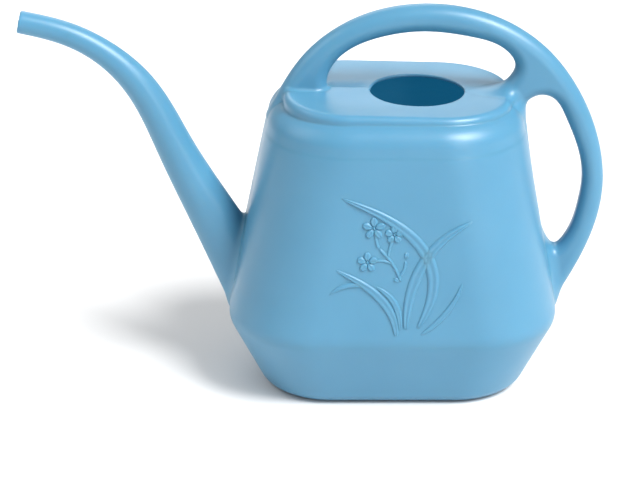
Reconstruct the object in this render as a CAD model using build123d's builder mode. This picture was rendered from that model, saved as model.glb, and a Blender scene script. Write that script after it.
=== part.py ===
"""One-gallon household watering can, blow-moulded in one piece of light blue polyethylene.

The can stands on Z = 0 with the middle of its tank on the Z axis. Its spout points along -X, its
two-window handle along +X, and it is symmetric about the plane Y = 0, where the two mould halves met.
Every moulded region is a closed solid of its own. Neighbouring regions meet face to face.
"""

import os
from math import atan2, cos, radians, sin

from build123d import *

# ---------------------------------------------------------------- driving dimensions, millimetres

WALL = 1.6                  # blown wall, all over

# Tank: a flared base up to the belt, its widest line, then a long taper up to the shoulder.
BASE_LENGTH = 161.0
BASE_WIDTH = 110.0
BASE_CORNER = 42.0
BASE_ROUNDING = 7.0
BELT_HEIGHT = 47.0
BELT_LENGTH = 208.6
BELT_WIDTH = 150.0
BELT_CORNER = 54.0
SHOULDER_HEIGHT = 188.0
SHOULDER_LENGTH = 158.4     # where the tapering walls would reach the height of the ledge
SHOULDER_WIDTH = 130.4
SHOULDER_CORNER = 46.0
SHOULDER_ROUNDING = 13.0
CREASE_DROP = 18.5          # how far the faint line round the can lies below the ledge
PAN_HEIGHT = 11.0           # height of the base pan, floor and bottom edge together
PUSH_UP = 1.5               # how far the middle of the base is pushed up off the floor
FOOT_WIDTH = 22.0           # width of the flat band that the can stands on, bottom rounding included

# Deck: a raised plateau with a rounded lip, which falls slightly towards the rear.
DECK_RISE = 4.4             # how far the middle of the deck stands above the ledge
DECK_LENGTH = 142.4
DECK_WIDTH = 111.0
DECK_CENTRE = 2.4
DECK_FRONT_CORNER = 30.0
DECK_REAR_CORNER = 45.0
DECK_SKIRT = 10.0           # how far the lip's wall runs down before the shoulder trims it
DECK_FALL = 1.3             # degrees
LIP_ROUNDING = 3.0
FILL_HOLE = 58.5
FILL_HOLE_CENTRE = 14.6

# Spout: oval sections square to its centre line. Heading is the slope of the centre line in degrees.
# The lower stations are measured from the front of the belt, the others from the shoulder.
#                reach, rise, heading, depth, width
SPOUT_FROM_BELT = (
    (-20.1, 3.8, 63.0, 40.6, 29.0),
    (-5.5, 31.7, 62.9, 35.7, 28.0),
    (9.1, 59.4, 62.7, 31.0, 26.5),
)
SPOUT_FROM_SHOULDER = (
    (33.0, -35.3, 61.0, 23.8, 23.0),
    (54.8, 6.2, 54.0, 19.6, 19.6),
    (76.1, 27.4, 35.5, 16.2, 16.2),
    (98.5, 39.8, 20.0, 14.9, 14.9),
    (129.3, 48.1, 13.6, 14.3, 14.3),
)
NECK_START = 3              # station where the root gives way to the neck
TIP_START = 6               # station where the neck gives way to the tip
MOUTH_ROUNDING = 0.5

# Handle: a thick plate in the plane Y = 0 with two windows and rounded edges. Points of its outlines
# are (X, height above the shoulder ledge), and those of the rear ones (X behind the belt, height
# above the ledge). Each closed window runs on inside the tank or the deck, which trims the plate.
HANDLE_THICKNESS = 17.0
HANDLE_ROUNDING = 6.0
FOOT_OVERHANG = 0.5         # the foot's front edge stands this far in front of the shoulder
ARCH_OUTLINE = ((-57.1, 25.6), (-20.8, 51.8), (18.4, 59.6), (62.4, 51.8))
GRIP_OUTLINE = ((-8.9, 30.8), (14.3, -0.9), (26.5, -34.4), (28.9, -61.5), (22.0, -94.5))
TOP_WINDOW = (
    (-41.5, 6.0), (-38.6, 19.0), (-30.4, 28.2), (-6.9, 38.7), (18.6, 42.1), (47.5, 38.7),
    (71.5, 28.2), (75.8, 20.3), (70.5, 9.7), (55.0, -1.0), (15.0, -6.0), (-30.0, -5.0),
)
REAR_WINDOW = (
    (-1.9, -101.6), (5.9, -94.5), (13.4, -72.4), (15.5, -56.1), (12.1, -34.4), (4.1, -14.2),
    (-5.5, -0.9),
)
#   the same window's points on the tank's side (X behind the tank's wall, height above the ledge)
REAR_WINDOW_INNER = (
    (13.17, 0.4), (4.46, -3.6), (-2.46, -20.0), (-7.58, -60.0), (-6.28, -92.0), (-0.33, -98.5),
)
FOOT_CUT = -38.0            # X where the foot gives way to the arch
WEB_CUT = 58.0              # X where the arch gives way to the web
GRIP_CUT = -12.0            # height above the ledge where the web gives way to the grip

# Relief on the two broad faces, drawn as (X, distance up the face from the belt).
RELIEF_HEIGHT = 1.3
RELIEF_DEPTH = 3.0          # how deep the drawing is extruded before the wall trims it
STEM_WIDTH = 2.0
PETAL_COUNT = 5
PETAL_WIDTH = 3.4
#             root, middle, tip, width
BLADES = (
    ((14.0, 13.0), (19.0, 62.0), (-33.0, 98.0), 6.0),
    ((7.0, 12.0), (17.5, 56.0), (48.0, 83.0), 5.5),
    ((16.0, 9.0), (33.0, 25.0), (42.0, 44.0), 3.2),
    ((1.0, 8.0), (-8.0, 32.0), (-37.0, 52.0), 4.6),
    ((3.5, 12.0), (0.0, 30.0), (-12.0, 41.0), 3.4),
    ((-18.0, 41.0), (-30.0, 41.5), (-41.0, 35.0), 2.6),
)
#             start, middle, end
STALKS = (
    ((4.0, 44.0), (-1.5, 56.0), (-10.0, 66.0)),
    ((-10.0, 66.0), (-11.5, 71.0), (-12.0, 77.0)),
    ((-4.3, 60.5), (-3.0, 67.0), (-1.0, 73.0)),
    ((-1.5, 56.0), (-8.0, 58.0), (-15.0, 57.0)),
    ((2.6, 48.0), (5.6, 52.0), (6.6, 58.0)),
)
#             centre, petal length
BLOSSOMS = (
    ((-13.0, 79.0), 6.8),
    ((-0.5, 75.0), 5.4),
    ((-17.0, 57.0), 6.0),
)

# ---------------------------------------------------------------- places that follow from them

BELT_FRONT = -BELT_LENGTH / 2
BELT_REAR = BELT_LENGTH / 2
CREASE_HEIGHT = SHOULDER_HEIGHT - CREASE_DROP
DECK_HEIGHT = SHOULDER_HEIGHT + DECK_RISE
TANK_LEVELS = (
    (0.0, BASE_LENGTH, BASE_WIDTH, BASE_CORNER),
    (BELT_HEIGHT, BELT_LENGTH, BELT_WIDTH, BELT_CORNER),
    (SHOULDER_HEIGHT, SHOULDER_LENGTH, SHOULDER_WIDTH, SHOULDER_CORNER),
)
SPOUT_STATIONS = [
    (BELT_FRONT - reach, BELT_HEIGHT + rise, heading, depth, width)
    for reach, rise, heading, depth, width in SPOUT_FROM_BELT
] + [
    (BELT_FRONT - reach, SHOULDER_HEIGHT + rise, heading, depth, width)
    for reach, rise, heading, depth, width in SPOUT_FROM_SHOULDER
]


# ---------------------------------------------------------------- shared forms

def tank_section(height):
    """Length, width and corner radius of the tank's outer skin at a height."""
    lower, upper = TANK_LEVELS[:2] if height < BELT_HEIGHT else TANK_LEVELS[1:]
    share = (height - lower[0]) / (upper[0] - lower[0])
    return [low + share * (high - low) for low, high in zip(lower[1:], upper[1:])]


def tank_form(floor, inset):
    """Closed form of the tank's outer skin (inset 0) or of the space inside it (inset WALL)."""
    with BuildPart() as form:
        for low, high in ((floor, BELT_HEIGHT), (BELT_HEIGHT, SHOULDER_HEIGHT - inset)):
            for height in (low, high):
                length, width, corner = tank_section(height)
                with BuildSketch(Plane.XY.offset(height)):
                    RectangleRounded(length - 2 * inset, width - 2 * inset, corner - inset)
            loft(ruled=True)
        fillet(form.edges().group_by(Axis.Z)[0], radius=BASE_ROUNDING - inset)
        fillet(form.edges().group_by(Axis.Z)[-1], radius=SHOULDER_ROUNDING - inset)
    return form.part


def deck_form(inset):
    """Closed form of the raised deck's outer skin, or of the space under it, down into the shoulder."""
    top = Plane(
        origin=(DECK_CENTRE, 0, DECK_HEIGHT - inset),
        z_dir=(sin(radians(DECK_FALL)), 0, cos(radians(DECK_FALL))),
    )
    with BuildPart() as form:
        with BuildSketch(Plane.XY.offset(SHOULDER_HEIGHT - DECK_SKIRT)) as outline:
            with Locations((DECK_CENTRE, 0)):
                Rectangle(DECK_LENGTH - 2 * inset, DECK_WIDTH - 2 * inset)
            fillet(outline.vertices().group_by(Axis.X)[0], radius=DECK_FRONT_CORNER - inset)
            fillet(outline.vertices().group_by(Axis.X)[-1], radius=DECK_REAR_CORNER - inset)
        extrude(amount=DECK_HEIGHT)
        split(bisect_by=top, keep=Keep.BOTTOM)
        fillet(form.faces().sort_by(Axis.Z)[-1].edges(), radius=LIP_ROUNDING - inset)
    return form.part


def spout_form(inset):
    """Tapering S-curved spout, as its outer skin or its bore. It starts inside the tank."""
    with BuildPart() as form:
        for x, z, heading, depth, width in SPOUT_STATIONS:
            along = (-cos(radians(heading)), 0, sin(radians(heading)))
            with BuildSketch(Plane(origin=(x, 0, z), x_dir=(0, 1, 0), z_dir=along)):
                Ellipse(width / 2 - inset, depth / 2 - inset)
        loft()
    return form.part


def spout_cut(station):
    """Plane square to the spout's centre line at a station."""
    x, z, heading, *_ = SPOUT_STATIONS[station]
    return Plane(origin=(x, 0, z), z_dir=(-cos(radians(heading)), 0, sin(radians(heading))))


def handle_plate():
    """The handle's plate with both windows, still running on inside the tank and the deck."""
    front = (-SHOULDER_LENGTH / 2 - FOOT_OVERHANG, SHOULDER_HEIGHT - SHOULDER_ROUNDING)
    bottom = (BELT_REAR - 2 * WALL, BELT_HEIGHT - 2 * WALL)
    arch = [(x, SHOULDER_HEIGHT + z) for x, z in ARCH_OUTLINE]
    grip = [(BELT_REAR + x, SHOULDER_HEIGHT + z) for x, z in GRIP_OUTLINE]
    top_window = [(x, SHOULDER_HEIGHT + z) for x, z in TOP_WINDOW]
    rear_window = [(BELT_REAR + x, SHOULDER_HEIGHT + z) for x, z in REAR_WINDOW] + [
        (tank_section(SHOULDER_HEIGHT + z)[0] / 2 + x, SHOULDER_HEIGHT + z)
        for x, z in REAR_WINDOW_INNER
    ]
    with BuildPart() as plate:
        with BuildSketch(Plane.XZ):
            with BuildLine():
                Spline(front, *arch, *grip, bottom)
                Polyline(bottom, (0, BELT_HEIGHT), front)
            make_face()
            for window in (top_window, rear_window):
                with BuildLine():
                    Spline(*window, periodic=True)
                make_face(mode=Mode.SUBTRACT)
        extrude(amount=HANDLE_THICKNESS / 2, both=True)
        flat_sides = plate.faces().group_by(Axis.Y)
        rims = flat_sides[0].edges() + flat_sides[-1].edges()
        fillet(rims.filter_by(GeomType.BSPLINE), radius=HANDLE_ROUNDING)
    return plate.part


# ---------------------------------------------------------------- skins and hollows

tank_skin = tank_form(0.0, 0.0)
tank_space = tank_form(PUSH_UP + WALL, WALL)
deck_skin = deck_form(0.0)
deck_space = deck_form(WALL)
spout_skin = spout_form(0.0)
spout_bore = spout_form(WALL)

with BuildPart() as tank_shell:
    add(tank_skin)
    add(tank_space, mode=Mode.SUBTRACT)
    add(deck_space, mode=Mode.SUBTRACT)
    with BuildSketch():
        RectangleRounded(
            BASE_LENGTH - 2 * FOOT_WIDTH, BASE_WIDTH - 2 * FOOT_WIDTH, BASE_CORNER - FOOT_WIDTH
        )
    extrude(amount=PUSH_UP, mode=Mode.SUBTRACT)

with BuildPart() as spout_shell:
    add(spout_skin)
    add(spout_bore, mode=Mode.SUBTRACT)
    add(tank_skin, mode=Mode.SUBTRACT)

with BuildPart() as handle:
    add(handle_plate())
    add(tank_skin, mode=Mode.SUBTRACT)
    add(deck_skin, mode=Mode.SUBTRACT)


# ---------------------------------------------------------------- tank

with BuildPart() as base_pan:
    add(tank_shell.part)
    split(bisect_by=Plane.XY.offset(PAN_HEIGHT), keep=Keep.BOTTOM)

with BuildPart() as lower_wall:
    add(tank_shell.part)
    split(bisect_by=Plane.XY.offset(PAN_HEIGHT), keep=Keep.TOP)
    split(bisect_by=Plane.XY.offset(BELT_HEIGHT), keep=Keep.BOTTOM)

with BuildPart() as upper_wall:
    add(tank_shell.part)
    split(bisect_by=Plane.XY.offset(BELT_HEIGHT), keep=Keep.TOP)
    split(bisect_by=Plane.XY.offset(CREASE_HEIGHT), keep=Keep.BOTTOM)
    add(spout_bore, mode=Mode.SUBTRACT)

with BuildPart() as shoulder:
    add(tank_shell.part)
    split(bisect_by=Plane.XY.offset(CREASE_HEIGHT), keep=Keep.TOP)

with BuildPart() as fill_deck:
    add(deck_skin)
    add(deck_space, mode=Mode.SUBTRACT)
    add(tank_skin, mode=Mode.SUBTRACT)
    with Locations((FILL_HOLE_CENTRE, 0, DECK_HEIGHT)):
        Hole(radius=FILL_HOLE / 2)


# ---------------------------------------------------------------- spout

with BuildPart() as spout_root:
    add(spout_shell.part)
    split(bisect_by=spout_cut(NECK_START), keep=Keep.BOTTOM)
    split(bisect_by=Plane.XY.offset(BELT_HEIGHT), keep=Keep.TOP)

with BuildPart() as spout_neck:
    add(spout_shell.part)
    split(bisect_by=spout_cut(NECK_START), keep=Keep.TOP)
    split(bisect_by=spout_cut(TIP_START), keep=Keep.BOTTOM)

with BuildPart() as spout_tip:
    add(spout_shell.part)
    split(bisect_by=spout_cut(TIP_START), keep=Keep.TOP)
    fillet(spout_tip.faces().sort_by(Axis.X)[0].edges(), radius=MOUTH_ROUNDING)


# ---------------------------------------------------------------- handle

with BuildPart() as handle_foot:
    add(handle.part)
    split(bisect_by=Plane.YZ.offset(FOOT_CUT), keep=Keep.BOTTOM)

with BuildPart() as handle_arch:
    add(handle.part)
    split(bisect_by=Plane.YZ.offset(FOOT_CUT), keep=Keep.TOP)
    split(bisect_by=Plane.YZ.offset(WEB_CUT), keep=Keep.BOTTOM)

with BuildPart() as handle_web:
    add(handle.part)
    split(bisect_by=Plane.YZ.offset(WEB_CUT), keep=Keep.TOP)
    split(bisect_by=Plane.XY.offset(SHOULDER_HEIGHT + GRIP_CUT), keep=Keep.TOP)

with BuildPart() as rear_grip:
    add(handle.part)
    split(bisect_by=Plane.YZ.offset(WEB_CUT), keep=Keep.TOP)
    split(bisect_by=Plane.XY.offset(SHOULDER_HEIGHT + GRIP_CUT), keep=Keep.BOTTOM)


# ---------------------------------------------------------------- relief

lean = atan2((BELT_WIDTH - SHOULDER_WIDTH) / 2, SHOULDER_HEIGHT - BELT_HEIGHT)
front_face = Plane(
    origin=(0, -BELT_WIDTH / 2, BELT_HEIGHT), x_dir=(1, 0, 0), z_dir=(0, -cos(lean), sin(lean))
)

with BuildPart() as front_leaves:
    with BuildSketch(front_face.offset(-RELIEF_DEPTH)):
        for root, middle, tip, width in BLADES:
            side = Vector(*tip).sub(Vector(*root)).rotate(Axis.Z, 90).normalized() * width / 2
            with BuildLine():
                ThreePointArc(root, side + middle, tip)
                ThreePointArc(tip, -side + middle, root)
            make_face()
    extrude(amount=RELIEF_DEPTH + RELIEF_HEIGHT)
    add(tank_skin, mode=Mode.SUBTRACT)

with BuildPart() as front_blossoms:
    with BuildSketch(front_face.offset(-RELIEF_DEPTH)):
        for start, middle, end in STALKS:
            SlotArc(Edge.make_three_point_arc(start, middle, end), STEM_WIDTH)
        for centre, petal_length in BLOSSOMS:
            with Locations(centre):
                with PolarLocations(petal_length / 2, PETAL_COUNT, start_angle=90):
                    Ellipse(petal_length / 2, PETAL_WIDTH / 2)
    extrude(amount=RELIEF_DEPTH + RELIEF_HEIGHT)
    add(tank_skin, mode=Mode.SUBTRACT)

with BuildPart() as back_leaves:
    add(mirror(front_leaves.part, about=Plane.XZ, mode=Mode.PRIVATE))

with BuildPart() as back_blossoms:
    add(mirror(front_blossoms.part, about=Plane.XZ, mode=Mode.PRIVATE))


# ---------------------------------------------------------------- one STEP file per node

nodes = {
    "base_pan": base_pan,
    "lower_wall": lower_wall,
    "upper_wall": upper_wall,
    "shoulder": shoulder,
    "fill_deck": fill_deck,
    "spout_root": spout_root,
    "spout_neck": spout_neck,
    "spout_tip": spout_tip,
    "handle_foot": handle_foot,
    "handle_arch": handle_arch,
    "handle_web": handle_web,
    "rear_grip": rear_grip,
    "front_leaves": front_leaves,
    "front_blossoms": front_blossoms,
    "back_leaves": back_leaves,
    "back_blossoms": back_blossoms,
}
os.makedirs("parts", exist_ok=True)
for label, node in nodes.items():
    node.part.label = label
    export_step(node.part, f"parts/{label}.step")
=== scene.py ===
"""Finished surfaces of the watering can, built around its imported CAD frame.

Each moulded form is written as a distance: a formula that is negative inside the plastic and positive
outside it, in millimetres. Blends between forms are written the same way. A net of quads is laid on
the zero of that formula and cut along the CAD's own joints, which gives one piece per node. Normals
come from the formula, so the cuts between neighbouring pieces don't show. The cuts are capped, but the
fill leaves some of them open on the handle and on the spout's neck.
"""

from itertools import product
from math import atan2, cos, pi, radians, sin, tan

import bmesh
import bpy
import numpy as np
from mathutils import Matrix, Vector


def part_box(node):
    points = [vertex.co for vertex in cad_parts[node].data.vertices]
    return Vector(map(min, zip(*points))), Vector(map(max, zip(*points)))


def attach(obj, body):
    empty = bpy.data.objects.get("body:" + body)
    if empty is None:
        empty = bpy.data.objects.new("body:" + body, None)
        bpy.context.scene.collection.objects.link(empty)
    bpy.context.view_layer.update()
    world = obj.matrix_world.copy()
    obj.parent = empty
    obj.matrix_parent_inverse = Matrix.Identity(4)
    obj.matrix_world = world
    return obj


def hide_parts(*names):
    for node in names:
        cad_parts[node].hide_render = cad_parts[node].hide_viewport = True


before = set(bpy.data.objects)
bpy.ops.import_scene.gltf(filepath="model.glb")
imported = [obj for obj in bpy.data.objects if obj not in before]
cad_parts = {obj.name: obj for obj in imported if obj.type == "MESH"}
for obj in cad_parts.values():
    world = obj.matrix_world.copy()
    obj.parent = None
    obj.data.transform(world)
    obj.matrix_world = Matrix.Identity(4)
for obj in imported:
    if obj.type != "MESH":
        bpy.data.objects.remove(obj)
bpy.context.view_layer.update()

MM = 0.001


# ---------------------------------------------------------------- places, millimetres

def corners(node):
    """Lowest and highest corners of a CAD node, in millimetres."""
    return [np.array(corner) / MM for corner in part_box(node)]


PAN_HEIGHT = corners("base_pan")[1][2]
BELT_X, BELT_Y, BELT_HEIGHT = corners("lower_wall")[1]
CREASE_HEIGHT = corners("upper_wall")[1][2]
LEDGE_HEIGHT = corners("shoulder")[1][2]
DECK_FRONT, DECK_REAR = corners("fill_deck")[0][0], corners("fill_deck")[1][0]
DECK_Y = corners("fill_deck")[1][1]
FOOT_CUT, WEB_CUT = corners("handle_arch")[0][0], corners("handle_arch")[1][0]
GRIP_CUT = corners("rear_grip")[1][2]
HANDLE_Y = corners("handle_arch")[1][1]

# Tank
BASE_X, BASE_Y, BASE_CORNER = 80.5, 56.0, 42.0
BASE_ROUNDING = 7.4
BELT_CORNER = 54.0
BELT_ROUNDING = 7.0         # height over which the two walls turn into each other at the belt
TURN_HEIGHT = BELT_HEIGHT + 2.0     # where the two walls would meet if the belt weren't rounded
TURN_X, TURN_Y = BELT_X + 0.2, BELT_Y + 0.4
FLARE_LEAN, TAPER_LEAN = 0.9, 0.985     # turn a level distance from each wall into a true one
LEDGE_FRONT, LEDGE_REAR = 76.6, 79.2
LEDGE_Y, LEDGE_CORNER = 65.2, 54.0
SHOULDER_ROUNDING = 13.0
CREASE_STEP = 0.35          # how far the wall steps in at the crease
CREASE_SOFTNESS = 1.2
WALL = 3.2                  # thick enough for the net; the thinner blown wall isn't seen
DECK_WALL = 2.2
PUSH_UP = 1.5
PUSH_UP_SOFTNESS = 1.2
FOOT_WIDTH = 22.0

# Deck
DECK_CENTRE = (DECK_FRONT + DECK_REAR) / 2
DECK_X = (DECK_REAR - DECK_FRONT) / 2
DECK_RISE = 4.4
DECK_FRONT_CORNER, DECK_REAR_CORNER = 42.0, 45.0
DECK_FALL = radians(1.3)
LIP_ROUNDING = 4.2
LIP_CREASE = 0.8
DISH_DEPTH = 1.0            # how far the deck sinks inside its lip
DISH_START, DISH_REACH = 4.0, 14.0
CREST_HEIGHT = 0.8          # low crest on the middle plane, where the two mould halves met
CREST_REACH = 9.0
TROUGH_DEPTH = 3.0          # trough behind the middle plane, from the handle's foot to the fill hole
TROUGH_START, TROUGH_END = -39.0, -14.0
TROUGH_START_FADE, TROUGH_END_FADE = 1.5, 3.0
TROUGH_STEP = 3.5           # width of its steep near side
TROUGH_REACH = 8.125
HOLE_RADIUS, HOLE_CENTRE = 29.6, 14.6
HOLE_ROUNDING = 0.9
DECK_FLOOR = LEDGE_HEIGHT - 6.0     # no part of the deck's wall is lower
SEAM_LIFT = 0.35            # how far off the tank's skin the deck's piece starts

# Spout: centre line and section along it, from inside the tank to the mouth
#          reach in front of the belt, height, depth / 2, width / 2
SPOUT = [
    (reach, BELT_HEIGHT + rise, depth / 2, width / 2)
    for reach, rise, depth, width in (
        (-20.1, 3.8, 40.6, 29.0),
        (-5.5, 31.7, 35.7, 28.0),
        (9.1, 59.4, 31.0, 26.5),
    )
] + [
    (reach, LEDGE_HEIGHT + rise, depth / 2, width / 2)
    for reach, rise, depth, width in (
        (33.0, -35.3, 23.8, 23.0),
        (54.8, 6.2, 19.6, 19.6),
        (76.1, 27.4, 16.2, 16.2),
        (98.5, 39.8, 14.9, 14.9),
        (129.3, 48.1, 14.3, 14.3),
    )
]
NECK_START, TIP_START = 3, 6
SPOUT_SADDLE = 5.0          # rounding where the spout grows out of the tank
MOUTH_ROUNDING = 1.4
SPOUT_WALL = 1.9
BORE_ROUNDING = 0.5

# Handle: outlines in the middle plane, as points (X, height above the ledge)
FOOT_SADDLE, WEB_SADDLE = 2.6, 8.5
SADDLE_START, SADDLE_REACH = -20.0, 90.0
ARCH_ROUNDING, GRIP_ROUNDING = 8.4, 6.8
ROUNDING_DROP, ROUNDING_REACH = 15.0, 40.0      # where the one turns into the other, about GRIP_CUT
OUTLINE = [
    (-79.7, -SHOULDER_ROUNDING), (-57.1, 25.6), (-20.8, 51.8), (18.4, 59.6), (62.4, 51.8),
] + [
    (BELT_X + x, z) for x, z in
    ((-8.9, 30.8), (14.3, -0.9), (26.5, -34.4), (28.9, -61.5), (22.0, -94.5), (-3.2, -144.2))
]
TOP_WINDOW = [
    (-41.5, 6.0), (-38.6, 19.0), (-30.4, 28.2), (-6.9, 38.7), (18.6, 42.1), (47.5, 38.7),
    (71.5, 28.2), (75.8, 20.3), (70.5, 9.7), (55.0, -1.0), (15.0, -6.0), (-30.0, -5.0),
]
REAR_WINDOW = [
    (BELT_X + x, z) for x, z in
    ((-5.5, -0.9), (-12.0, 0.4), (-20.0, -3.6), (-24.0, -20.0), (-22.0, -60.0), (-15.0, -92.0),
     (-7.9, -98.5), (-1.9, -101.6), (5.9, -94.5), (13.4, -72.4), (15.5, -56.1), (12.1, -34.4),
     (4.1, -14.2))
]


# ---------------------------------------------------------------- distances and their blends

def both(a, b, rounding):
    """Where a and b overlap, with their common edge rounded off."""
    hollow = np.hypot(np.maximum(a + rounding, 0), np.maximum(b + rounding, 0))
    return np.minimum(np.maximum(a, b), -rounding) + hollow


def either(a, b, rounding):
    """a and b together, with the corner between them filled to that radius."""
    filled = np.hypot(np.maximum(rounding - a, 0), np.maximum(rounding - b, 0))
    return np.maximum(np.minimum(a, b), rounding) - filled


def smooth_least(a, b, reach):
    """The lesser of a and b, turning from one to the other over a height of about reach."""
    blend = np.maximum(reach - np.abs(a - b), 0) / reach
    return np.minimum(a, b) - blend * blend * reach / 4


def rounded_rectangle(x, y, half_x, half_y, corner):
    qx = np.abs(x) - half_x + corner
    qy = np.abs(y) - half_y + corner
    return np.hypot(np.maximum(qx, 0), np.maximum(qy, 0)) + np.minimum(np.maximum(qx, qy), 0) - corner


def oval(across, side, half_depth, half_width):
    """Distance to an oval with those half axes."""
    scaled = np.hypot(across / half_depth, side / half_width)
    slope = np.hypot(across / half_depth**2, side / half_width**2)
    return scaled * (scaled - 1) / np.maximum(slope, 1e-9)


class Curve:
    """Smooth curve through points, open or closed. Its first two columns are X and height."""

    SPACING = 2.0           # between the samples that a search starts from

    def __init__(self, points, closed=False):
        self.closed = closed
        points = np.array(points, float)
        if closed:
            points = np.vstack((points, points[:1]))
        step = np.linalg.norm(np.diff(points[:, :2], axis=0), axis=1)
        slope = np.diff(points, axis=0) / step[:, None]
        last = len(step)
        rows, goal = np.eye(last + 1), np.zeros_like(points)
        for i in range(1, last):
            rows[i, i - 1:i + 2] = step[i - 1], 2 * (step[i - 1] + step[i]), step[i]
            goal[i] = 6 * (slope[i] - slope[i - 1])
        if closed:
            rows[0, last] = -1
            rows[last, [0, 1, last - 1]] = 2 * step[0], step[0], step[-1]
            rows[last, last] = 2 * step[-1]
            goal[last] = 6 * (slope[0] - slope[-1])
        self.points, self.step, self.slope = points, step, slope
        self.bend = np.linalg.solve(rows, goal)
        self.knots = np.concatenate(((0,), np.cumsum(step)))

    def at(self, run):
        """Point, direction and bend after that run along the curve, which goes on straight at its ends."""
        end = self.knots[-1]
        held = run % end if self.closed else np.clip(run, 0, end)
        i = np.clip(np.searchsorted(self.knots, held) - 1, 0, len(self.step) - 1)
        h = self.step[i][:, None]
        a = (held - self.knots[i])[:, None]
        b = h - a
        low, high = self.bend[i], self.bend[i + 1]
        place = (low * b**3 + high * a**3) / (6 * h)
        place += (self.points[i] / h - low * h / 6) * b + (self.points[i + 1] / h - high * h / 6) * a
        turn = (high * a**2 - low * b**2) / (2 * h) + self.slope[i] - (high - low) * h / 6
        if not self.closed:
            place[:, :2] += turn[:, :2] * (run - held)[:, None]
        return place, turn, (low * b + high * a) / h

    def nearest(self, x, z):
        """Nearest point's columns, the direction there, and the offset to (x, z) from it."""
        x, z = np.broadcast_arrays(x, z)
        target = np.stack((x.ravel(), z.ravel()), axis=1)
        samples = np.linspace(0, self.knots[-1], int(self.knots[-1] / self.SPACING) + 2)
        line = self.at(samples)[0][:, :2]
        run = np.empty(len(target))
        for start in range(0, len(target), 20000):
            part = target[start:start + 20000]
            gap = (part[:, None, 0] - line[None, :, 0])**2 + (part[:, None, 1] - line[None, :, 1])**2
            run[start:start + 20000] = samples[gap.argmin(axis=1)]
        for _ in range(4):
            place, turn, bend = (columns[:, :2] for columns in self.at(run))
            away, speed = target - place, (turn**2).sum(axis=1)
            curl = np.maximum(speed - (away * bend).sum(axis=1), 0.2 * speed)
            before = np.where((run <= 0) & (not self.closed), -np.inf, -self.SPACING)
            after = np.where((run >= self.knots[-1]) & (not self.closed), np.inf, self.SPACING)
            run = run + np.clip((away * turn).sum(axis=1) / curl, before, after)
        place, turn, _ = self.at(run)
        away = target - place[:, :2]
        unit = turn[:, :2] / np.linalg.norm(turn[:, :2], axis=1)[:, None]
        return [column.reshape(x.shape) for column in (*place.T, *unit.T, *away.T)]

    def inside(self, x, z):
        """Distance from (x, z) to the curve, negative on its right-hand side."""
        *_, unit_x, unit_z, away_x, away_z = self.nearest(x, z)
        side = np.where(unit_x * away_z - unit_z * away_x > 0, 1, -1)
        return side * np.hypot(away_x, away_z)


outline = Curve([(x, LEDGE_HEIGHT + z) for x, z in OUTLINE])
top_window = Curve([(x, LEDGE_HEIGHT + z) for x, z in TOP_WINDOW], closed=True)
rear_window = Curve([(x, LEDGE_HEIGHT + z) for x, z in REAR_WINDOW[::-1]], closed=True)
spout_line = Curve([(-BELT_X - reach, *rest) for reach, *rest in SPOUT])


# ---------------------------------------------------------------- the can's forms

def tank(x, y, z, inset=0.0):
    """Tank skin, or with an inset the space inside it."""
    low = z / TURN_HEIGHT
    high = (z - TURN_HEIGHT) / (LEDGE_HEIGHT - TURN_HEIGHT)

    def level(base, belt, ledge):
        flare = base + (belt - base) * low
        taper = belt + (ledge - belt) * high
        return smooth_least(flare, taper, BELT_ROUNDING * (belt - base) / TURN_HEIGHT)

    step = CREASE_STEP * (np.tanh((z - CREASE_HEIGHT) / CREASE_SOFTNESS) + 1) / 2
    half_x = level(BASE_X, TURN_X, np.where(x < 0, LEDGE_FRONT, LEDGE_REAR)) - step
    half_y = level(BASE_Y, TURN_Y, LEDGE_Y) - step
    corner = level(BASE_CORNER, BELT_CORNER, LEDGE_CORNER)
    lean = np.where(z < TURN_HEIGHT, FLARE_LEAN, TAPER_LEAN)
    wall = rounded_rectangle(x, y, half_x, half_y, corner) * lean + inset
    closed_top = both(wall, z - LEDGE_HEIGHT + inset, SHOULDER_ROUNDING - inset)
    return both(closed_top, base_height(x, y) - z + inset, BASE_ROUNDING - inset)


def base_height(x, y):
    """Height of the tank's underside, which is pushed up inside the band that it stands on."""
    edge = rounded_rectangle(
        x, y, BASE_X - FOOT_WIDTH, BASE_Y - FOOT_WIDTH, BASE_CORNER - FOOT_WIDTH
    )
    return PUSH_UP / (1 + np.exp(np.clip(edge / PUSH_UP_SOFTNESS, -30, 30)))


def trough(x, y):
    """Share of the trough's full depth: a steep near side, then a slow rise to the rear."""
    start = 1 + np.exp((TROUGH_START - x) / TROUGH_START_FADE)
    end = 1 + np.exp((x - TROUGH_END) / TROUGH_END_FADE)
    fall = np.clip(y / TROUGH_STEP, 0, 1)
    rise = np.exp(-(np.maximum(y - TROUGH_STEP, 0) / TROUGH_REACH)**2)
    return fall**2 * (3 - 2 * fall) * rise / (start * end)


def deck(x, y, z, inset=0.0):
    """Raised deck with its rounded lip, dished inside it, and a low crest on the middle plane."""
    along = x - DECK_CENTRE
    corner = np.where(along < 0, DECK_FRONT_CORNER, DECK_REAR_CORNER)
    edge = rounded_rectangle(along, y, DECK_X, DECK_Y, corner)
    top = LEDGE_HEIGHT + DECK_RISE - along * tan(DECK_FALL)
    dish = 1 - np.exp(-(np.minimum(edge + DISH_START, 0) / DISH_REACH)**2)
    crest = CREST_HEIGHT * np.exp(-np.abs(y) / CREST_REACH) * dish
    top = top - DISH_DEPTH * dish + crest - TROUGH_DEPTH * trough(x, y)
    floor = LEDGE_HEIGHT - SHOULDER_ROUNDING
    plateau = both(edge + inset, z - top + inset, LIP_ROUNDING - min(inset, LIP_ROUNDING - 1))
    return np.maximum(plateau, floor - z)


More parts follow.
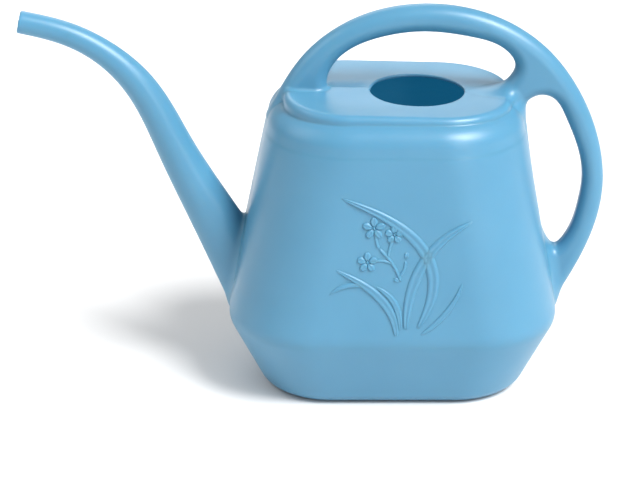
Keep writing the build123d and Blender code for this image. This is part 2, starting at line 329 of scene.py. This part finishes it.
def station_plane(station):
    """Distance past, and normal of, the plane square to the spout's centre line at a station."""
    place, turn, _ = spout_line.at(spout_line.knots[station:station + 1])
    unit = turn[0, :2] / np.linalg.norm(turn[0, :2])
    origin_x, origin_z = place[0, :2]
    normal = Vector((unit[0], 0, unit[1]))
    return lambda x, y, z: (x - origin_x) * unit[0] + (z - origin_z) * unit[1], normal


past_root, _ = station_plane(0)
past_neck, neck_normal = station_plane(NECK_START)
past_tip, tip_normal = station_plane(TIP_START)
past_mouth, _ = station_plane(len(SPOUT) - 1)


def spout(x, y, z, inset=0.0):
    """Spout skin, cut off square at the mouth, or with an inset its bore, open at the mouth."""
    _, _, depth, width, unit_x, unit_z, away_x, away_z = spout_line.nearest(x, z)
    tube = oval(unit_x * away_z - unit_z * away_x, y, depth - inset, width - inset)
    if inset:
        return np.maximum(tube, -past_root(x, y, z))
    return both(both(tube, past_mouth(x, y, z), MOUTH_ROUNDING), -past_root(x, y, z), MOUTH_ROUNDING)


def left_of(start, end, x, z):
    """Distance to the left of the line from start to end."""
    along = np.array(end) - np.array(start)
    across = along[0] * (z - start[1]) - along[1] * (x - start[0])
    return across / np.hypot(*along)


def plate(x, y, z):
    """Handle plate with both windows cut out and its edges rounded. It runs on inside the tank."""
    front, rear = outline.points[0], outline.points[-1]
    shape = np.maximum(outline.inside(x, z), -top_window.inside(x, z))
    shape = np.maximum(shape, left_of((0, BELT_HEIGHT), front, x, z))
    shape = np.maximum(shape, left_of(rear, (0, BELT_HEIGHT), x, z))
    shape = np.maximum(shape, -rear_window.inside(x, z))
    share = np.clip((z - GRIP_CUT + ROUNDING_DROP) / ROUNDING_REACH, 0, 1)
    rounding = GRIP_ROUNDING + (ARCH_ROUNDING - GRIP_ROUNDING) * share
    return both(shape, np.abs(y) - HANDLE_Y, rounding)


def tank_and_deck(x, y, z):
    return either(tank(x, y, z), deck(x, y, z), LIP_CREASE)


def hollow(x, y, z):
    """Space inside the tank and under the deck."""
    return either(tank(x, y, z, WALL), deck(x, y, z, DECK_WALL), WALL)


def handle_saddle(x):
    """Rounding between the handle and the tank, which grows towards the rear."""
    share = np.clip((x - SADDLE_START) / SADDLE_REACH, 0, 1)
    return FOOT_SADDLE + (WEB_SADDLE - FOOT_SADDLE) * share


def spout_inlet(x, y, z):
    """Opening through the tank's wall into the spout, whose root is straight."""
    (low_x, low_z, *low_size), (high_x, high_z, *high_size) = spout_line.points[0], spout_line.points[2]
    length = np.hypot(high_x - low_x, high_z - low_z)
    unit_x, unit_z = (high_x - low_x) / length, (high_z - low_z) / length
    along = (x - low_x) * unit_x + (z - low_z) * unit_z
    across = (z - low_z) * unit_x - (x - low_x) * unit_z
    depth, width = (
        low + (high - low) * along / length - SPOUT_WALL for low, high in zip(low_size, high_size)
    )
    return np.maximum(oval(across, y, np.maximum(depth, 1), np.maximum(width, 1)), -along)


def body_form(x, y, z):
    """Tank and deck as a hollow shell, open at the fill hole and at the spout."""
    shell = np.maximum(tank_and_deck(x, y, z), -hollow(x, y, z))
    shaft = np.hypot(x - HOLE_CENTRE, y) - HOLE_RADIUS
    hole = np.maximum(shaft, DECK_FLOOR - z)
    open_top = both(shell, -hole, HOLE_ROUNDING)
    return np.maximum(open_top, -spout_inlet(x, y, z))


def spout_form(x, y, z):
    """Spout with its saddle on the tank, and its bore."""
    skin = either(tank(x, y, z), spout(x, y, z), SPOUT_SADDLE)
    return both(skin, -spout(x, y, z, SPOUT_WALL), BORE_ROUNDING)


def handle_form(x, y, z):
    """Handle with its saddles on the tank and deck."""
    return either(tank_and_deck(x, y, z), plate(x, y, z), handle_saddle(x))


# ---------------------------------------------------------------- nets of quads on a form

def axis_steps(low, high, step):
    return np.linspace(low, high, int(round((high - low) / step)) + 1)


def surface_net(form, xs, ys, zs):
    """Closed quad net on form = 0, with one point in each cell that the surface crosses."""
    field = form(xs[:, None, None], ys[None, :, None], zs[None, None, :])
    axes = (xs, ys, zs)
    inside = field < 0
    count = sum(
        inside[a:a + len(xs) - 1, b:b + len(ys) - 1, c:c + len(zs) - 1].astype(np.int8)
        for a, b, c in product((0, 1), repeat=3)
    )
    mixed = (count > 0) & (count < 8)
    cells = np.argwhere(mixed)
    number = np.full(mixed.shape, -1)
    number[mixed] = np.arange(len(cells))
    points = crossing_means(field, axes, cells)
    quads = []
    for axis in range(3):
        a, b = (axis + 1) % 3, (axis + 2) % 3
        first = np.take(inside, range(inside.shape[axis] - 1), axis)
        second = np.take(inside, range(1, inside.shape[axis]), axis)
        edges = np.argwhere(first != second)
        keep = (edges[:, a] > 0) & (edges[:, a] < field.shape[a] - 1)
        keep &= (edges[:, b] > 0) & (edges[:, b] < field.shape[b] - 1)
        edges = edges[keep]
        ring = []
        for back_a, back_b in ((0, 0), (1, 0), (1, 1), (0, 1)):
            cell = edges.copy()
            cell[:, a] -= back_a
            cell[:, b] -= back_b
            ring.append(number[tuple(cell.T)])
        ring = np.stack(ring, axis=1)
        flip = ~inside[tuple(edges.T)]
        ring[flip] = ring[flip][:, ::-1]
        quads.append(ring)
    return settle(form, points), np.concatenate(quads)


def crossing_means(field, axes, cells):
    """For each cell, the mean of the places where its edges cross the surface."""
    total, hits = np.zeros(cells.shape), np.zeros(len(cells))
    for axis in range(3):
        others = [k for k in range(3) if k != axis]
        for shift in product((0, 1), repeat=2):
            low = cells.copy()
            low[:, others] += shift
            high = low.copy()
            high[:, axis] += 1
            near, far = field[tuple(low.T)], field[tuple(high.T)]
            crosses = (near < 0) != (far < 0)
            share = np.where(crosses, near / np.where(crosses, near - far, 1), 0)
            for k in range(3):
                start, stop = axes[k][low[:, k]], axes[k][high[:, k]]
                total[:, k] += np.where(crosses, start + share * (stop - start), 0)
            hits += crosses
    return total / hits[:, None]


def gradient(form, points):
    """Direction in which the form grows fastest, at each point."""
    reach = 0.05
    columns = []
    for axis in range(3):
        shift = np.zeros(3)
        shift[axis] = reach
        columns.append(form(*(points + shift).T) - form(*(points - shift).T))
    return np.stack(columns, axis=1) / (2 * reach)


def settle(form, points):
    """Points moved onto form = 0."""
    for _ in range(3):
        slope = gradient(form, points)
        size = np.maximum((slope**2).sum(axis=1), 0.05)
        move = (form(*points.T) / size)[:, None] * slope
        points = points - np.clip(move, -0.6, 0.6)
    return points


# ---------------------------------------------------------------- cutting and closing the pieces

# Mask for a painted glow: emission on the tank's inner side that stands in for light coming through the
# wall.
PAINTED_GLOW_MASK = "painted_glow_inner_wall"   # point attribute that is 1 on the tank's inner side
ON_SKIN = 0.2               # points this near to a form count as lying on it


def score(bm, level):
    """Cuts edges into the mesh along level = 0, where level is a function of place."""
    bm.verts.ensure_lookup_table()
    bm.verts.index_update()
    value = level(*np.array([vert.co for vert in bm.verts]).T)
    value = np.where(np.abs(value) < 1e-4, 1e-4, value)
    ends = np.array([(edge.verts[0].index, edge.verts[1].index) for edge in bm.edges])
    crossed = np.nonzero((value[ends[:, 0]] > 0) != (value[ends[:, 1]] > 0))[0]
    bm.edges.ensure_lookup_table()
    fresh = set()
    for edge, (a, b) in [(bm.edges[i], ends[i]) for i in crossed]:
        share = value[a] / (value[a] - value[b])
        fresh.add(bmesh.utils.edge_split(edge, edge.verts[0], share)[1])
    for face in {face for vert in fresh for face in vert.link_faces}:
        split = [vert for vert in face.verts if vert in fresh]
        if len(split) >= 2:
            bmesh.utils.face_split(face, split[0], split[1])
        if len(split) == 4:
            rest = [other for other in split[2].link_faces if split[3] in other.verts]
            bmesh.utils.face_split(rest[0], split[2], split[3])


def scored_mesh(net, levels):
    """Points and faces of a net after it has been scored along each level."""
    points, quads = net
    mesh = bpy.data.meshes.new("net")
    mesh.from_pydata(points.tolist(), [], quads.tolist())
    bm = bmesh.new()
    bm.from_mesh(mesh)
    for level in levels:
        score(bm, level)
    bm.verts.index_update()
    points = np.array([vert.co for vert in bm.verts])
    faces = [[vert.index for vert in face.verts] for face in bm.faces]
    centres = np.array([face.calc_center_median() for face in bm.faces])
    bm.free()
    bpy.data.meshes.remove(mesh)
    return points, faces, centres


def close(bm, planes):
    """Caps open edge loops: those on a plane in that plane, the rest one loop at a time.

    Blender's fill leaves some loops open on the handle and the spout's neck, where neighbours hide them.
    """
    rim = [edge for edge in bm.edges if edge.is_boundary]
    caps = []
    for level, normal in planes:
        if not rim:
            break
        ends = np.array([[edge.verts[0].co, edge.verts[1].co] for edge in rim])
        flat = np.abs(level(*ends[:, 0].T)) + np.abs(level(*ends[:, 1].T)) < 0.05
        on_plane = [edge for edge, lies in zip(rim, flat) if lies]
        rim = [edge for edge, lies in zip(rim, flat) if not lies]
        if on_plane:
            made = bmesh.ops.triangle_fill(bm, edges=on_plane, use_beauty=True, normal=normal)
            caps += [item for item in made["geom"] if isinstance(item, bmesh.types.BMFace)]
    rim = [edge for edge in rim if edge.is_boundary]
    if rim:
        made = bmesh.ops.holes_fill(bm, edges=rim, sides=0)
        made = bmesh.ops.triangulate(bm, faces=made["faces"])
        caps += made["faces"]
    return caps


def piece(name, form, cut, keep, planes=()):
    """One piece of a scored net: the faces that keep chooses, capped, as a Blender object."""
    points, faces, centres = cut
    chosen = [faces[i] for i in np.nonzero(keep(*centres.T))[0]]
    used = sorted({index for face in chosen for index in face})
    number = {index: i for i, index in enumerate(used)}
    mesh = bpy.data.meshes.new(name)
    mesh.from_pydata(points[used].tolist(), [], [[number[i] for i in face] for face in chosen])
    bm = bmesh.new()
    bm.from_mesh(mesh)
    for face in bm.faces:
        face.smooth = True
    for cap in close(bm, planes):
        cap.smooth = False
    bmesh.ops.recalc_face_normals(bm, faces=bm.faces)
    bm.to_mesh(mesh)
    bm.free()
    places = np.array([vert.co for vert in mesh.vertices])
    # Marks the tank's inner side, which gets the painted glow.
    inner = mesh.attributes.new(PAINTED_GLOW_MASK, "FLOAT", "POINT")
    inner.data.foreach_set("value", (np.abs(hollow(*places.T)) < ON_SKIN).astype(float))
    slopes = gradient(form, places)
    slopes /= np.linalg.norm(slopes, axis=1)[:, None]
    normals = []
    for polygon in mesh.polygons:
        for index in polygon.vertices:
            normals.append(slopes[index] if polygon.use_smooth else polygon.normal)
    mesh.transform(Matrix.Scale(MM, 4))
    mesh.normals_split_custom_set([tuple(normal) for normal in normals])
    return finished(name, mesh)


def finished(name, mesh):
    """Object that rides the can's one body and stands for the CAD node of the same name."""
    made = bpy.data.objects.new(f"{name}_skin", mesh)
    bpy.context.scene.collection.objects.link(made)
    mesh.materials.append(plastic)
    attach(made, "root")
    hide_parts(name)
    return made


# ---------------------------------------------------------------- material

def blown_polyethylene():
    """Light blue, half-gloss polyethylene: faintly uneven in colour, gloss and flatness.

    Light comes through the real blown wall. A faint glow on the tank's inner side stands for it, as
    strong as it looks through the fill hole in the photograph.
    """
    material = bpy.data.materials.new("blown_polyethylene")
    material.use_nodes = True
    nodes, links = material.node_tree.nodes, material.node_tree.links
    shader = nodes["Principled BSDF"]
    shader.inputs["IOR"].default_value = 1.5
    shader.inputs["Subsurface Weight"].default_value = 0.3
    shader.inputs["Subsurface Radius"].default_value = (0.3, 1.0, 1.5)
    shader.inputs["Subsurface Scale"].default_value = 0.004
    # Painted glow: the tank's inner side emits a faint blue light in place of light coming through the
    # wall.
    inner = nodes.new("ShaderNodeAttribute")
    inner.attribute_name = PAINTED_GLOW_MASK
    links.new(inner.outputs["Fac"], shader.inputs["Emission Strength"])
    shader.inputs["Emission Color"].default_value = (0.003, 0.058, 0.10, 1)
    place = nodes.new("ShaderNodeTexCoord")

    def noise(scale, detail):
        node = nodes.new("ShaderNodeTexNoise")
        node.inputs["Scale"].default_value = scale
        node.inputs["Detail"].default_value = detail
        links.new(place.outputs["Object"], node.inputs["Vector"])
        return node.outputs["Fac"]

    def between(value, low, high):
        node = nodes.new("ShaderNodeMapRange")
        node.inputs["To Min"].default_value = low
        node.inputs["To Max"].default_value = high
        links.new(value, node.inputs["Value"])
        return node.outputs["Result"]

    ramp = nodes.new("ShaderNodeValToRGB")
    ramp.color_ramp.elements[0].position, ramp.color_ramp.elements[1].position = 0.3, 0.7
    ramp.color_ramp.elements[0].color = (0.072, 0.236, 0.372, 1)
    ramp.color_ramp.elements[1].color = (0.080, 0.252, 0.392, 1)
    links.new(noise(18, 3), ramp.inputs["Fac"])
    links.new(ramp.outputs["Color"], shader.inputs["Base Color"])
    links.new(between(noise(60, 4), 0.30, 0.42), shader.inputs["Roughness"])

    waves = nodes.new("ShaderNodeBump")
    waves.inputs["Strength"].default_value = 0.15
    waves.inputs["Distance"].default_value = 0.0006
    links.new(noise(45, 2), waves.inputs["Height"])
    grain = nodes.new("ShaderNodeBump")
    grain.inputs["Strength"].default_value = 0.12
    grain.inputs["Distance"].default_value = 0.00012
    links.new(noise(1400, 3), grain.inputs["Height"])
    links.new(waves.outputs["Normal"], grain.inputs["Normal"])
    links.new(grain.outputs["Normal"], shader.inputs["Normal"])
    return material


plastic = blown_polyethylene()


# ---------------------------------------------------------------- tank and deck pieces

def at_height(height):
    return lambda x, y, z: z - height


def off_tank(x, y, z):
    """Where the deck leaves the tank's skin. Lower down it keeps clear of the walls."""
    return np.where(z > DECK_FLOOR, tank(x, y, z) - SEAM_LIFT, -1.0)


body_net = surface_net(
    body_form,
    axis_steps(-108, 108, 1.35),
    axis_steps(-78, 78, 1.3),
    np.concatenate((
        axis_steps(-3.1, PAN_HEIGHT, 1.3), axis_steps(PAN_HEIGHT + 1.6, CREASE_HEIGHT - 4, 1.7),
        axis_steps(CREASE_HEIGHT - 3, LEDGE_HEIGHT - 4.8, 1.3),
        axis_steps(LEDGE_HEIGHT - 4, LEDGE_HEIGHT + 8, 0.7),
    )),
)


SINK_SLOPE, SINK_MOST = 0.3, 0.6


def sunk_under_saddles(points):
    """Tank skin under the handle's and the spout's saddles, drawn back so that it stays hidden."""
    x, y, z = points.T
    off_handle = plate(x, y, z) - handle_saddle(x)
    off_spout = spout(x, y, z) - SPOUT_SADDLE
    skin = np.abs(tank_and_deck(x, y, z)) < ON_SKIN
    depth = np.clip(-np.minimum(off_handle, off_spout) * SINK_SLOPE, 0, SINK_MOST) * skin
    return points - gradient(tank_and_deck, points) * depth[:, None]


body_cut = scored_mesh(
    (sunk_under_saddles(body_net[0]), body_net[1]),
    [at_height(PAN_HEIGHT), at_height(BELT_HEIGHT), at_height(CREASE_HEIGHT), off_tank],
)
UP = Vector((0, 0, 1))
levels = [0.0, PAN_HEIGHT, BELT_HEIGHT, CREASE_HEIGHT]
tank_planes = [(at_height(height), UP) for height in levels[1:]] + [(off_tank, UP)]
for name, low, high in zip(("base_pan", "lower_wall", "upper_wall"), (-9.0, *levels[1:]), levels[1:]):
    piece(
        name, body_form, body_cut,
        lambda x, y, z, low=low, high=high: (z > low) & (z < high), tank_planes,
    )
piece(
    "shoulder", body_form, body_cut,
    lambda x, y, z: (z > CREASE_HEIGHT) & (off_tank(x, y, z) < 0), tank_planes,
)
piece("fill_deck", body_form, body_cut, lambda x, y, z: off_tank(x, y, z) > 0, tank_planes)


# ---------------------------------------------------------------- spout pieces

ON_BORE = 0.3


def spout_root_edge(x, y, z):
    """Outer edge of the saddle on the tank, and the end of the bore just inside the tank's skin."""
    on_bore = np.abs(spout(x, y, z, SPOUT_WALL)) < ON_BORE
    return np.where(on_bore, -tank(x, y, z) - WALL / 2, spout(x, y, z) - SPOUT_SADDLE)


spout_net = surface_net(
    spout_form, axis_steps(-238, -60, 1.0), axis_steps(-26, 26, 1.0), axis_steps(20, 250, 1.0)
)
spout_cut = scored_mesh(spout_net, [spout_root_edge, past_neck, past_tip])
FRONT_WALL = Vector((-1, 0, 0.17)).normalized()
spout_planes = [
    (past_neck, neck_normal), (past_tip, tip_normal), (lambda x, y, z: x * 0, FRONT_WALL)
]
for name, keep in (
    ("spout_root", lambda x, y, z: (spout_root_edge(x, y, z) < 0) & (past_neck(x, y, z) < 0)),
    ("spout_neck", lambda x, y, z: (past_neck(x, y, z) > 0) & (past_tip(x, y, z) < 0)),
    ("spout_tip", lambda x, y, z: past_tip(x, y, z) > 0),
):
    piece(name, spout_form, spout_cut, keep, spout_planes)


# ---------------------------------------------------------------- handle pieces

def handle_edge(x, y, z):
    """Outer edge of the handle's saddles."""
    return plate(x, y, z) - handle_saddle(x)


def at_reach(reach):
    return lambda x, y, z: x - reach


handle_net = surface_net(
    handle_form, axis_steps(-90, 136, 1.0), axis_steps(-24, 24, 1.0), axis_steps(40, 250, 1.0)
)
handle_cut = scored_mesh(
    handle_net, [handle_edge, at_reach(FOOT_CUT), at_reach(WEB_CUT), at_height(GRIP_CUT)]
)
ALONG = Vector((1, 0, 0))
HANDLE_SUNK = 0.5           # how far the handle's pieces reach into the tank's skin
handle_planes = [
    (at_reach(FOOT_CUT), ALONG), (at_reach(WEB_CUT), ALONG), (at_height(GRIP_CUT), UP)
]


def on_handle(x, y, z):
    return (handle_edge(x, y, z) < 0) & (tank_and_deck(x, y, z) > -HANDLE_SUNK)


for name, keep in (
    ("handle_foot", lambda x, y, z: x < FOOT_CUT),
    ("handle_arch", lambda x, y, z: (x > FOOT_CUT) & (x < WEB_CUT)),
    ("handle_web", lambda x, y, z: (x > WEB_CUT) & (z > GRIP_CUT)),
    ("rear_grip", lambda x, y, z: (x > WEB_CUT) & (z < GRIP_CUT)),
):
    piece(
        name, handle_form, handle_cut,
        lambda x, y, z, keep=keep: on_handle(x, y, z) & keep(x, y, z), handle_planes,
    )


# ---------------------------------------------------------------- relief pieces

LEAN = atan2(BELT_Y - LEDGE_Y, LEDGE_HEIGHT - BELT_HEIGHT)
RELIEF_HEIGHT = 1.7
RELIEF_SUNK = 0.6           # how far the relief's hidden base lies under the skin
EDGE_SUNK = 0.1             # and how far a ridge's edges do
GROOVE_WIDTH = 0.3          # share of the half width
ACROSS = 12                 # strips across a blade or petal
BLADE_STEPS, STALK_STEPS, PETAL_STEPS = 56, 20, 18
# The blades and stalks lie as they do on the real can. The blossoms are generic.
#   root, middle, tip (X, distance up the face from the belt), width, depth of the midrib's groove
BLADES = (
    ((14.0, 13.0), (19.0, 62.0), (-33.0, 98.0), 6.0, 0.5),
    ((7.0, 12.0), (17.5, 56.0), (48.0, 83.0), 5.5, 0.5),
    ((16.0, 9.0), (33.0, 25.0), (42.0, 44.0), 3.2, 0.3),
    ((1.0, 8.0), (-8.0, 32.0), (-37.0, 52.0), 4.6, 0.4),
    ((3.5, 12.0), (0.0, 30.0), (-12.0, 41.0), 3.4, 0.3),
    ((-18.0, 41.0), (-30.0, 41.5), (-41.0, 35.0), 2.6, 0.2),
)
#   start, middle, end, width
STALKS = (
    ((4.0, 44.0), (-1.5, 56.0), (-10.0, 66.0), 2.2),
    ((-10.0, 66.0), (-11.5, 71.0), (-12.0, 77.0), 2.0),
    ((-4.3, 60.5), (-3.0, 67.0), (-1.0, 73.0), 2.0),
    ((-1.5, 56.0), (-8.0, 58.0), (-15.0, 57.0), 2.0),
    ((2.6, 48.0), (5.6, 52.0), (6.6, 58.0), 2.0),
)
#   centre, petal length
BLOSSOMS = (((-13.0, 79.0), 6.8), ((-0.5, 75.0), 5.4), ((-17.0, 57.0), 6.0))
BUDS = (((6.6, 58.0), 80), ((4.0, 44.0), 150))
PETAL_COUNT, PETAL_WIDTH = 5, 4.8
BUD_LENGTH, BUD_WIDTH = 5.0, 3.0


def on_face(x, up, height):
    """Places on the front face: X, distance up it from the belt, and height off it."""
    z = BELT_HEIGHT + up * cos(LEAN)
    share = (z - BELT_HEIGHT) / (LEDGE_HEIGHT - BELT_HEIGHT)
    half_x = BELT_X + (LEDGE_REAR - BELT_X) * share
    half_y = BELT_Y + (LEDGE_Y - BELT_Y) * share
    corner = BELT_CORNER + (LEDGE_CORNER - BELT_CORNER) * share
    turned = np.maximum(np.abs(x) - half_x + corner, 0)
    y = half_y - corner + np.sqrt(corner**2 - turned**2) + height
    return np.stack((x, -y, z), axis=-1)


def curved(start, middle, end, count):
    """Evenly placed points on a smooth curve through three points."""
    start, middle, end = (np.array(point) for point in (start, middle, end))
    pull = 2 * middle - (start + end) / 2
    share = np.linspace(0, 1, count)[:, None]
    return start * (1 - share)**2 + pull * 2 * share * (1 - share) + end * share**2


def ridge(path, half_width, height, groove=0.0):
    """Closed rounded ridge along a path on the face, with a groove down its middle."""
    along = np.gradient(path, axis=0)
    along /= np.linalg.norm(along, axis=1)[:, None]
    side = np.stack((-along[:, 1], along[:, 0]), axis=1)
    across = np.sin(np.linspace(-pi / 2, pi / 2, ACROSS + 1))
    crown = np.sqrt(np.maximum(1 - across**2, 0)) * (1 - groove * np.exp(-(across / GROOVE_WIDTH)**2))
    across = np.concatenate((across, (1, -1)))
    rings = path[:, None] + side[:, None] * (half_width[:, None] * across)[:, :, None]
    lift = np.minimum(height, half_width * 1.1)[:, None] * np.concatenate((crown, (0, 0)))
    lift[:, [0, ACROSS]] = -EDGE_SUNK
    lift[:, -2:] = -RELIEF_SUNK
    points = on_face(rings[..., 0], rings[..., 1], lift).reshape(-1, 3)
    ring = len(across)
    faces = []
    for i in range(len(path) - 1):
        for j in range(ring):
            k = (j + 1) % ring
            faces.append((i * ring + j, (i + 1) * ring + j, (i + 1) * ring + k, i * ring + k))
    last = (len(path) - 1) * ring
    faces.append(tuple(range(ring)))
    faces.append(tuple(last + j for j in reversed(range(ring))))
    return points, faces


def blade(root, middle, tip, width, groove):
    path = curved(root, middle, tip, BLADE_STEPS)
    share = np.linspace(0, 1, BLADE_STEPS)
    swell = np.sin(pi * share**0.8)**0.5 * 1.3
    return ridge(path, width / 2 * np.maximum(swell, 0.08), RELIEF_HEIGHT, groove)


def stalk(start, middle, end, width):
    path = curved(start, middle, end, STALK_STEPS)
    share = np.linspace(0, 1, STALK_STEPS)
    swell = np.minimum(1, 3.2 * np.sqrt(share * (1 - share)) + 0.15)
    return ridge(path, width / 2 * swell, RELIEF_HEIGHT)


def petal(centre, angle, reach, width, groove=0.35):
    """Rounded petal that points away from a centre."""
    out = np.array((cos(angle), sin(angle)))
    share = np.linspace(0, 1, PETAL_STEPS)
    path = np.array(centre) + out * (0.6 + reach * share)[:, None]
    swell = np.sin(pi * np.clip(share, 0.015, 0.985)**1.3)**0.6
    return ridge(path, width / 2 * swell, RELIEF_HEIGHT, groove)


def relief(name, parts, back=False):
    """One object of several closed ridges, on the front face or mirrored onto the back."""
    points, faces, count = [], [], 0
    for part_points, part_faces in parts:
        points.append(part_points)
        faces += [tuple(count + index for index in face) for face in part_faces]
        count += len(part_points)
    points = np.concatenate(points) * MM
    if back:
        points[:, 1] *= -1
    mesh = bpy.data.meshes.new(name)
    mesh.from_pydata(points.tolist(), [], faces)
    bm = bmesh.new()
    bm.from_mesh(mesh)
    bmesh.ops.recalc_face_normals(bm, faces=bm.faces)
    for face in bm.faces:
        face.smooth = True
    bm.to_mesh(mesh)
    bm.free()
    finished(name, mesh)


leaves = [blade(*sizes) for sizes in BLADES]
blossoms = [stalk(*sizes) for sizes in STALKS]
for centre, reach in BLOSSOMS:
    for i in range(PETAL_COUNT):
        blossoms.append(petal(centre, pi / 2 + 2 * pi * i / PETAL_COUNT, reach, PETAL_WIDTH))
    blossoms.append(petal((centre[0] - 1.5, centre[1]), 0.0, 1.8, 2.2, groove=0.0))
for centre, heading in BUDS:
    blossoms.append(petal(centre, radians(heading), BUD_LENGTH, BUD_WIDTH))
for side, back in (("front", False), ("back", True)):
    relief(f"{side}_leaves", leaves, back)
    relief(f"{side}_blossoms", blossoms, back)


# ---------------------------------------------------------------- floor, light and camera

CAMERA_RISE = radians(22.4)
CAMERA_AWAY = 1.92
AIM = Vector((-0.0461, 0, 0.0887))
SENSOR, LENS = 36, 168.75   # millimetres
LIGHT_AWAY = 1.2
LIGHT_AIM = Vector((0, 0, 0.12))
FLOOR_HALF = 6.0


def add_floor():
    mesh = bpy.data.meshes.new("floor")
    corners_at = [(x * FLOOR_HALF, y * FLOOR_HALF, 0) for x, y in ((-1, -1), (1, -1), (1, 1), (-1, 1))]
    mesh.from_pydata(corners_at, [], [(0, 1, 2, 3)])
    floor = bpy.data.objects.new("floor", mesh)
    bpy.context.scene.collection.objects.link(floor)
    material = bpy.data.materials.new("pale_floor")
    material.use_nodes = True
    shader = material.node_tree.nodes["Principled BSDF"]
    shader.inputs["Base Color"].default_value = (0.8, 0.8, 0.8, 1)
    shader.inputs["Roughness"].default_value = 0.7
    shader.inputs["Specular IOR Level"].default_value = 0.2
    mesh.materials.append(material)


def place_light(name, light, azimuth, elevation):
    """Puts a light near the can. Azimuth 0 is in front of it, 90 to its right."""
    holder = bpy.data.objects.new(name, light)
    flat = cos(radians(elevation))
    away = Vector((
        sin(radians(azimuth)) * flat, -cos(radians(azimuth)) * flat, sin(radians(elevation))
    ))
    holder.location = LIGHT_AIM + away * LIGHT_AWAY
    holder.rotation_euler = away.to_track_quat("Z", "Y").to_euler()
    bpy.context.scene.collection.objects.link(holder)


def add_sun(name, azimuth, elevation, spread, strength):
    """Soft light that reaches the whole floor evenly."""
    light = bpy.data.lights.new(name, "SUN")
    light.angle = radians(spread)
    light.energy = strength
    place_light(name, light, azimuth, elevation)


def add_light(name, azimuth, elevation, width, height, power):
    """Soft light box."""
    light = bpy.data.lights.new(name, "AREA")
    light.shape = "RECTANGLE"
    light.size, light.size_y = width, height
    light.energy = power
    place_light(name, light, azimuth, elevation)


def add_world():
    world = bpy.data.worlds.new("studio")
    world.use_nodes = True
    sky = world.node_tree.nodes["Background"]
    sky.inputs["Color"].default_value = (1, 1, 1, 1)
    sky.inputs["Strength"].default_value = 0.45
    bpy.context.scene.world = world


def add_camera():
    camera = bpy.data.cameras.new("camera")
    camera.sensor_width = SENSOR
    camera.lens = LENS
    holder = bpy.data.objects.new("camera", camera)
    away = Vector((0, -cos(CAMERA_RISE), sin(CAMERA_RISE)))
    holder.location = AIM + away * CAMERA_AWAY
    holder.rotation_euler = away.to_track_quat("Z", "Y").to_euler()
    bpy.context.scene.collection.objects.link(holder)
    bpy.context.scene.camera = holder


add_floor()
add_world()
add_sun("key", 52, 50, 28, 4.6)
add_light("strip", 32, 18, 0.14, 0.7, 2.5)
add_light("left", -85, 38, 0.7, 0.7, 3)
add_light("back", 190, 35, 0.7, 0.7, 3)
add_camera()
bpy.context.scene.view_settings.view_transform = "Standard"
